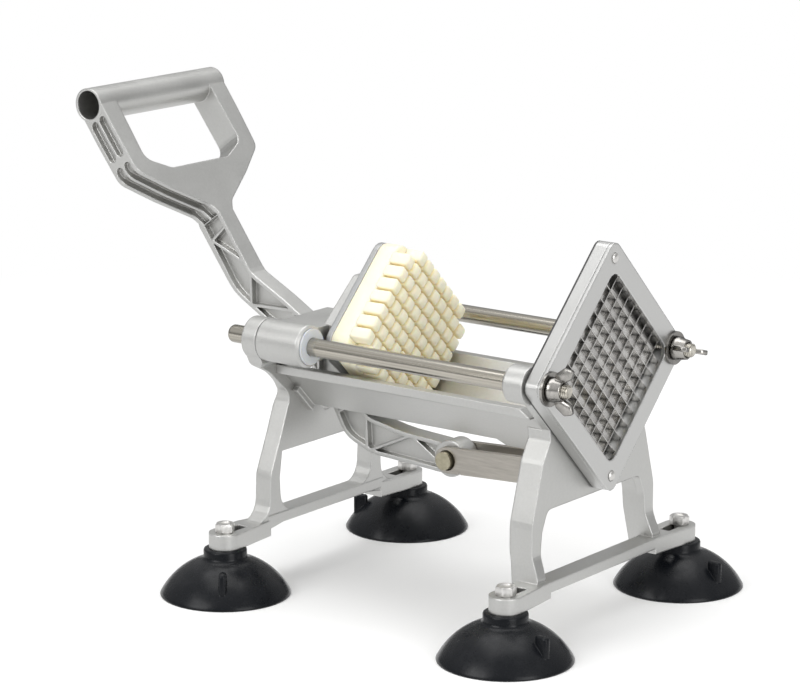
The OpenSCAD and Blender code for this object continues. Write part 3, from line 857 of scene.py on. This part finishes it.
@dataclass(frozen=True)
class DressedNodes:
    """CAD nodes that stay as they are and only get a finish."""

    finish: Finish
    nodes: tuple[str, ...]
    smooth_angle: float = 30.0

    def dress(self) -> int:
        """Gives each node its finish and smooth shading on its curved faces.

        Returns:
            How many nodes were dressed.
        """
        for name in self.nodes:
            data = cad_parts[name].data
            data.materials.clear()
            data.materials.append(self.finish.material())
            for face in data.polygons:
                face.use_smooth = True
            data.set_sharp_from_angle(angle=math.radians(self.smooth_angle))
        return len(self.nodes)


@dataclass(frozen=True)
class GuideRod:
    """A polished rod with a rounded rear tip and a threaded stud in front."""

    side: Side
    radius: float = 0.0052
    tip_x: float = -0.2202
    shoulder_x: float = -0.011
    stud_radius: float = 0.004
    stud_end_x: float = 0.013
    pitch: float = 0.00125

    def build(self) -> bpy.types.Object:
        """Builds the rod and its stud.

        Returns:
            The rod.
        """
        mesh = bmesh.new()
        length = self.shoulder_x - self.tip_x
        bead = 0.003
        tip = [
            (self.radius - bead + bead * math.sin(a), bead - bead * math.cos(a))
            for a in (math.radians(d) for d in range(0, 91, 15))
        ]
        edge = 0.0004
        shoulder = [(self.radius, length - edge), (self.radius - edge, length), (0.0, length)]
        lathe(mesh, [(0.0, 0.0), *tip, *shoulder])
        end = self.stud_end_x - self.tip_x
        loft(mesh, thread_rings(self.stud_radius, self.pitch, length - 0.001, end - 0.0006))
        point = [(self.stud_radius * 0.86, end - 0.0007), (self.stud_radius * 0.7, end), (0.0, end)]
        lathe(mesh, point, 28)
        bmesh.ops.transform(
            mesh, matrix=along_x(self.tip_x, self.side.value * ROD_Y, AXIS_Z), verts=mesh.verts
        )
        node = f"guide_rod_{self.side.name.lower()}"
        piece = make_piece(f"{node}_fine", mesh, ROD_STEEL)
        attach(piece, "base")
        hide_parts(node)
        return piece


@dataclass(frozen=True)
class PusherBlock:
    """The moulded block whose pins go between the blades."""

    cells: int = 9
    pitch: float = 0.00862
    pin_side: float = 0.00717
    side: float = 0.07608
    corner_radius: float = 0.009
    base_x: float = -0.157
    pin_x: float = -0.145
    pin_length: float = 0.012

    def _pin(self, mesh: bmesh.types.BMesh, across: float, up: float) -> None:
        """Adds one pin with rounded edges and a rounded end.

        Args:
            mesh: The mesh to add to.
            across: The pin's place along the grid's first direction.
            up: The pin's place along the second.
        """
        heights = (
            (-0.001, 0.0002), (0.0, 0.0), (self.pin_length - 0.0016, 0.0),
            (self.pin_length - 0.0008, 0.0005), (self.pin_length - 0.0002, 0.0013),
            (self.pin_length, 0.0022),
        )
        rings = []
        for height, inset in heights:
            side = self.pin_side - 2 * inset
            ring = round_square(side, min(0.0011 + inset, side * 0.49), 4)
            rings.append([point + Vector((across, up, height)) for point in ring])
        loft(mesh, rings)

    def build(self) -> bpy.types.Object:
        """Builds the block, standing on its corner like the blades.

        Returns:
            The block.
        """
        mesh = bmesh.new()
        depth = self.pin_x - self.base_x
        outline = (
            (0.0, 0.0006), (0.0006, 0.0), (depth - 0.0012, 0.0), (depth - 0.0003, 0.0005),
            (depth, 0.0014),
        )
        rings = []
        for height, inset in outline:
            ring = round_square(self.side - 2 * inset, self.corner_radius - inset, 6)
            rings.append([point + Vector((0.0, 0.0, height - depth)) for point in ring])
        loft(mesh, rings)
        last = (self.cells - 1) // 2
        for i in range(-last, last + 1):
            for j in range(-last, last + 1):
                if abs(i) + abs(j) < 2 * last:
                    self._pin(mesh, i * self.pitch, j * self.pitch)
        bmesh.ops.transform(mesh, matrix=along_x(self.pin_x, 0.0, AXIS_Z, 45.0), verts=mesh.verts)
        piece = make_piece("pusher_block_fine", mesh, IVORY, 50.0)
        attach(piece, "carriage")
        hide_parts("pusher_block")
        return piece


@dataclass(frozen=True)
class WingNut:
    """A nut with two curved wings, free to turn on its stud."""

    side: Side
    spin: float
    base_x: float = 0.0019
    stud_radius: float = 0.00405

    def build(self) -> bpy.types.Object:
        """Builds the hub and both wings.

        Returns:
            The nut.
        """
        mesh = bmesh.new()
        bore = self.stud_radius
        lathe(
            mesh,
            [
                (bore, 0.0), (0.0063, 0.0), (0.0068, 0.0004), (0.0068, 0.0028),
                (0.0062, 0.0034), (0.0056, 0.0072), (0.0051, 0.0076),
                (bore + 0.0005, 0.0076), (bore, 0.0071), (bore, 0.0),
            ],
            40,
        )
        for turn in (0.0, 180.0):
            verts = self._wing(mesh)
            half_turn = Matrix.Rotation(math.radians(turn), 4, "Z")
            bmesh.ops.transform(mesh, matrix=half_turn, verts=verts)
        place = along_x(self.base_x, self.side.value * ROD_Y, AXIS_Z, self.spin)
        bmesh.ops.transform(mesh, matrix=place, verts=mesh.verts)
        node = f"wing_nut_{self.side.name.lower()}"
        piece = make_piece(f"{node}_fine", mesh, NICKEL, 50.0)
        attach(piece, node)
        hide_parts(node)
        return piece

    @staticmethod
    def _wing(mesh: bmesh.types.BMesh) -> list:
        """Adds one flat wing with softened edges, leaning away from the hub.

        Args:
            mesh: The mesh to add to.

        Returns:
            The wing's vertices.
        """
        outline = (
            (3.6, 1.6), (8.0, 2.4), (9.4, 3.2), (12.6, 7.6), (13.1, 8.8), (12.2, 12.6),
            (11.4, 13.5), (10.2, 13.4), (7.9, 12.8), (6.9, 12.0), (4.6, 7.6),
        )
        middle = Vector((8.2, 0.0, 8.0))
        rings = []
        softened = ((1.4, 0.9), (1.15, 0.98), (0.7, 1.0))
        layers = [(-across, scale) for across, scale in softened]
        layers += [(across, scale) for across, scale in reversed(softened)]
        for across, scale in layers:
            center = middle + Vector((0.0, across, 0.0))
            rings.append(
                [(center + (Vector((out, 0.0, up)) - middle) * scale) * MM for out, up in outline]
            )
        return loft(mesh, rings)


@dataclass(frozen=True)
class SuctionCup:
    """A rubber cup with a collar, a thin rim and an upright pull tab."""

    name: str
    x: float
    side: Side
    tab_angle: float
    rim_radius: float = 0.03735
    collar_radius: float = 0.0124
    height: float = 0.027
    bolt_radius: float = 0.00305
    bolt_depth_z: float = 0.0155
    tab_x: float = 0.0283
    tab_length: float = 0.0084
    tab_width: float = 0.0044

    def build(self) -> bpy.types.Object:
        """Builds the cup and its tab.

        Returns:
            The cup.
        """
        mesh = bmesh.new()
        dome = self.rim_radius * 1.135
        dome_z = 0.0008 - math.sqrt(dome**2 - self.rim_radius**2)
        dish = self.rim_radius * 1.43
        lip = self.rim_radius - 0.0014
        dish_z = -math.sqrt(dish**2 - lip**2)
        neck = self.collar_radius
        top = dome_z + dome
        profile = [
            *arc(dish, dish_z, 0.0, lip, 20),
            (lip + 0.0004, 0.0),
            (self.rim_radius - 0.0003, 0.0),
            (self.rim_radius, 0.0004),
            *arc(dome, dome_z, self.rim_radius, neck + 0.0035, 24),
            (neck + 0.0016, top - 0.0024),
            (neck + 0.0004, top - 0.0014),
            (neck, top - 0.0002),
            (neck, self.height - 0.0012),
            (neck - 0.0003, self.height - 0.0004),
            (neck - 0.0011, self.height),
            (self.bolt_radius, self.height),
            (self.bolt_radius, self.bolt_depth_z),
            (0.0, self.bolt_depth_z),
        ]
        lathe(mesh, profile, 72)
        self._tab(mesh)
        place = Matrix.Translation((self.x, self.side.value * FOOT_Y, 0.0))
        bmesh.ops.transform(mesh, matrix=place, verts=mesh.verts)
        piece = make_piece(f"{self.name}_fine", mesh, RUBBER, 60.0)
        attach(piece, "base")
        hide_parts(self.name)
        return piece

    def _tab(self, mesh: bmesh.types.BMesh) -> None:
        """Adds the pull tab, a rounded upright bar on the dome.

        Args:
            mesh: The mesh to add to.
        """
        levels = ((0.004, 0.0), (0.0185, 0.0), (0.0195, 0.0004), (0.02, 0.0012))
        rings = []
        for height, inset in levels:
            ring = []
            for point in round_square(1.0, 0.28, 3):
                x = self.tab_x + point.x * (self.tab_length - 2 * inset)
                ring.append(Vector((x, point.y * (self.tab_width - 2 * inset), height)))
            rings.append(ring)
        verts = loft(mesh, rings)
        turn = Matrix.Rotation(math.radians(self.tab_angle), 4, "Z")
        bmesh.ops.transform(mesh, matrix=turn, verts=verts)


@dataclass(frozen=True)
class FootBolts:
    """The four hexagon-head bolts that hold the cups to the pads."""

    shank_radius: float = 0.003
    head_z: float = 0.0362
    head_height: float = 0.0053
    across_flats: float = 0.010
    spins: tuple[float, ...] = (12.0, -8.0, 24.0, 3.0)
    segments: int = 48

    def build(self) -> bpy.types.Object:
        """Builds all four bolts in one piece.

        Returns:
            The bolts.
        """
        mesh = bmesh.new()
        places = [(x, side.value * FOOT_Y) for x in (FOOT_FRONT_X, FOOT_REAR_X) for side in Side]
        for (x, y), spin in zip(places, self.spins):
            verts = self._bolt(mesh)
            place = Matrix.Translation((x, y, 0.0)) @ Matrix.Rotation(math.radians(spin), 4, "Z")
            bmesh.ops.transform(mesh, matrix=place, verts=verts)
        piece = make_piece("foot_bolts_fine", mesh, ZINC, 25.0)
        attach(piece, "base")
        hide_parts("foot_bolts")
        return piece

    def _bolt(self, mesh: bmesh.types.BMesh) -> list:
        """Adds one bolt with a chamfered, dished head.

        Args:
            mesh: The mesh to add to.

        Returns:
            The bolt's vertices.
        """
        low, high = self.head_z, self.head_z + self.head_height
        shank = [(0.0, 0.016), (self.shank_radius, 0.0165), (self.shank_radius, low)]
        verts = lathe(mesh, shank, 24)
        flat = self.across_flats / 2
        corner = flat * 2 / math.sqrt(3)
        levels = (
            (low, flat * 0.98), (low + 0.0006, corner), (high - 0.0008, corner),
            (high, flat * 0.98), (high, 0.0037), (high - 0.0007, 0.0032),
        )
        rings = []
        for height, reach in levels:
            ring = []
            for k in range(self.segments):
                angle = 2 * math.pi * k / self.segments
                inside = flat / math.cos((angle + math.pi / 6) % (math.pi / 3) - math.pi / 6)
                at = min(inside, reach)
                ring.append(Vector((at * math.cos(angle), at * math.sin(angle), height)))
            rings.append(ring)
        return verts + loft(mesh, rings)


# --------------------------------------------------------------------------
# Studio
# --------------------------------------------------------------------------


@dataclass(frozen=True)
class Viewpoint:
    """The camera at the viewing angle of the reference picture."""

    azimuth: float = 37.2731
    elevation: float = 13.1136
    roll: float = 0.0832
    distance: float = 1.86343
    target: tuple[float, float, float] = (FRONT_X - 0.14603, 0.0, 0.13659)
    lens: float = 146.585

    def build(self) -> bpy.types.Object:
        """Makes the camera and makes it the scene's.

        Returns:
            The camera.
        """
        azimuth, elevation, roll = map(math.radians, (self.azimuth, self.elevation, self.roll))
        back = Vector(
            (
                math.sin(azimuth) * math.cos(elevation),
                -math.cos(azimuth) * math.cos(elevation),
                math.sin(elevation),
            )
        )
        right = Vector((math.cos(azimuth), math.sin(azimuth), 0.0))
        up = back.cross(right)
        turned_right = right * math.cos(roll) + up * math.sin(roll)
        turned_up = up * math.cos(roll) - right * math.sin(roll)
        data = bpy.data.cameras.new("camera")
        data.lens = self.lens
        data.sensor_fit = "HORIZONTAL"
        data.sensor_width = 36.0
        data.clip_end = 50.0
        camera = bpy.data.objects.new("camera", data)
        turn = Matrix((turned_right, turned_up, back)).transposed()
        place = Vector(self.target) + back * self.distance
        camera.matrix_world = Matrix.Translation(place) @ turn.to_4x4()
        bpy.context.scene.collection.objects.link(camera)
        bpy.context.scene.camera = camera
        return camera


@dataclass(frozen=True)
class Softbox:
    """A large soft lamp aimed at the object."""

    name: str
    place: tuple[float, float, float]
    size: tuple[float, float]
    power: float

    def build(self, target: Vector) -> bpy.types.Object:
        """Makes the lamp and turns it to the target.

        Args:
            target: The point it faces.

        Returns:
            The lamp.
        """
        data = bpy.data.lights.new(self.name, "AREA")
        data.shape = "RECTANGLE"
        data.size, data.size_y = self.size
        data.energy = self.power
        lamp = bpy.data.objects.new(self.name, data)
        lamp.location = self.place
        lamp.rotation_euler = (target - Vector(self.place)).to_track_quat("-Z", "Y").to_euler()
        bpy.context.scene.collection.objects.link(lamp)
        return lamp


@dataclass(frozen=True)
class Studio:
    """A pale floor, a white surround and soft lamps.

    Attributes:
        floor_color: The floor's colour near the object.
        floor_half: Half the floor's side.
        fade_from: How far out the floor starts to turn plain white.
        fade_to: How far out it is plain white.
        mirrored_floor: The floor's brightness in reflections.
        surround_top: The surround's brightness overhead.
        surround_low: Its brightness at the horizon and below.
        band: Low edge, middle and high edge of the dark band in reflections.
        band_depth: How dark the band is.
    """

    floor_color: Color = (0.97, 0.97, 0.965)
    floor_half: float = 9.0
    fade_from: float = 0.3
    fade_to: float = 0.9
    mirrored_floor: float = 1.0
    surround_top: float = 0.95
    surround_low: float = 0.35
    band: tuple[float, float, float] = (-0.1, 0.12, 0.4)
    band_depth: float = 0.25

    def build(self) -> None:
        """Makes the floor, the surround and the lamps."""
        mesh = bmesh.new()
        half = self.floor_half
        corners = ((-half, -half), (half, -half), (half, half), (-half, half))
        mesh.faces.new([mesh.verts.new((x, y, 0.0)) for x, y in corners])
        data = bpy.data.meshes.new("floor")
        mesh.to_mesh(data)
        mesh.free()
        floor = bpy.data.objects.new("floor", data)
        bpy.context.scene.collection.objects.link(floor)
        material = bpy.data.materials.new("pale_floor")
        material.use_nodes = True
        shader = material.node_tree.nodes["Principled BSDF"]
        shader.inputs["Base Color"].default_value = rgba(self.floor_color)
        shader.inputs["Roughness"].default_value = 0.9
        shader.inputs["Specular IOR Level"].default_value = 0.0
        self._fade(Graph(material.node_tree), shader)
        data.materials.append(material)
        self._surround()
        middle = Vector((0.0, 0.0, 0.12))
        for lamp in (
            Softbox("key", (-0.6, -2.4, 1.5), (1.6, 1.4), 27.0),
            Softbox("front", (2.4, -0.8, 0.8), (1.2, 1.4), 19.0),
            Softbox("top", (-0.2, 0.2, 2.6), (2.4, 2.0), 30.0),
        ):
            lamp.build(middle)
        scene = bpy.context.scene
        scene.view_settings.view_transform = "Standard"

    def _fade(self, graph: Graph, shader: bpy.types.Node) -> None:
        """Lets the floor run out into plain white, and reflect as a calm grey.

        Args:
            graph: The floor material's graph.
            shader: The floor's shader.
        """
        distance = graph.add("ShaderNodeVectorMath", operation="LENGTH")
        graph.link(graph.add("ShaderNodeTexCoord").outputs["Object"], distance.inputs[0])
        far = graph.ramp(distance.outputs["Value"], self.fade_from, self.fade_to)
        path = graph.add("ShaderNodeLightPath")
        white = graph.add("ShaderNodeEmission")
        grey = graph.add("ShaderNodeEmission")
        grey.inputs["Strength"].default_value = self.mirrored_floor
        near_mix = graph.add("ShaderNodeMixShader")
        graph.link(far, near_mix.inputs["Fac"])
        graph.link(shader.outputs["BSDF"], near_mix.inputs[1])
        graph.link(white.outputs["Emission"], near_mix.inputs[2])
        mix = graph.add("ShaderNodeMixShader")
        graph.link(path.outputs["Is Glossy Ray"], mix.inputs["Fac"])
        graph.link(near_mix.outputs["Shader"], mix.inputs[1])
        graph.link(grey.outputs["Emission"], mix.inputs[2])
        out = next(node for node in graph.tree.nodes if node.type == "OUTPUT_MATERIAL")
        graph.link(mix.outputs["Shader"], out.inputs["Surface"])

    def _surround(self) -> None:
        """Shows white to the camera and a soft gradient to everything else.

        Reflections also meet a dark band just above the horizon, as from the flags of a
        studio, which gives polished metal its dark streaks.
        """
        world = bpy.data.worlds.new("surround")
        world.use_nodes = True
        world.node_tree.nodes.clear()
        graph = Graph(world.node_tree)
        path = graph.add("ShaderNodeLightPath")
        seen = graph.add("ShaderNodeBackground")
        seen.inputs["Color"].default_value = (1.0, 1.0, 1.0, 1.0)
        soft = graph.add("ShaderNodeBackground")
        place = graph.add("ShaderNodeSeparateXYZ")
        graph.link(graph.add("ShaderNodeTexCoord").outputs["Generated"], place.inputs[0])
        height = place.outputs["Z"]
        climb = self.surround_top - self.surround_low
        level = graph.math("MULTIPLY_ADD", graph.ramp(height, -0.05, 0.8), climb, self.surround_low)
        low, middle, high = self.band
        inside = graph.math(
            "MULTIPLY", graph.ramp(height, low, middle), graph.ramp(height, high, middle)
        )
        mirrored = graph.math("MULTIPLY", path.outputs["Is Glossy Ray"], self.band_depth)
        darker = graph.math("MULTIPLY", inside, mirrored)
        strength = graph.math("MULTIPLY", level, graph.math("SUBTRACT", 1.0, darker))
        graph.link(strength, soft.inputs["Strength"])
        mix = graph.add("ShaderNodeMixShader")
        graph.link(path.outputs["Is Camera Ray"], mix.inputs["Fac"])
        graph.link(soft.outputs["Background"], mix.inputs[1])
        graph.link(seen.outputs["Background"], mix.inputs[2])
        out = graph.add("ShaderNodeOutputWorld")
        graph.link(mix.outputs["Shader"], out.inputs["Surface"])
        bpy.context.scene.world = world


# --------------------------------------------------------------------------
# Assembly
# --------------------------------------------------------------------------


def main() -> None:
    """Builds the scene in order and reports each piece."""
    logging.basicConfig(level=logging.INFO, format="%(name)s: %(message)s")
    Viewpoint().build()
    Studio().build()
    for dressed in (
        DressedNodes(CAST, ("front_frame", "trough", "rear_frame", "carriage", "lever")),
        DressedNodes(CARTRIDGE, ("cartridge_body",)),
        DressedNodes(MACHINED, ("cartridge_cover",)),
        DressedNodes(BACKING, ("pusher_plate",)),
        DressedNodes(LINK_STEEL, ("link_near", "link_far")),
        DressedNodes(PIN_STEEL, ("pivot_pin", "link_pin_lever", "link_pin_frame")),
        DressedNodes(BLADE_STEEL, ("blades_rising", "blades_falling")),
        DressedNodes(NICKEL, ("pusher_screws", "stud_washers")),
        DressedNodes(ZINC, ("cartridge_screws",)),
        DressedNodes(NYLON, ("sleeve_bushes",)),
    ):
        LOG.info("%s on %d nodes", dressed.finish.name, dressed.dress())
    pieces = [
        GuideRod(Side.NEAR),
        GuideRod(Side.FAR),
        PusherBlock(),
        WingNut(Side.NEAR, 0.0),
        WingNut(Side.FAR, 75.0),
        SuctionCup("suction_cup_front_near", FOOT_FRONT_X, Side.NEAR, -11.0),
        SuctionCup("suction_cup_front_far", FOOT_FRONT_X, Side.FAR, -11.0),
        SuctionCup("suction_cup_rear_near", FOOT_REAR_X, Side.NEAR, -53.0),
        SuctionCup("suction_cup_rear_far", FOOT_REAR_X, Side.FAR, -143.0),
        FootBolts(),
    ]
    for piece in pieces:
        made = piece.build()
        LOG.info("%s: %d faces", made.name, len(made.data.polygons))


if __name__ == "__main__":
    main()
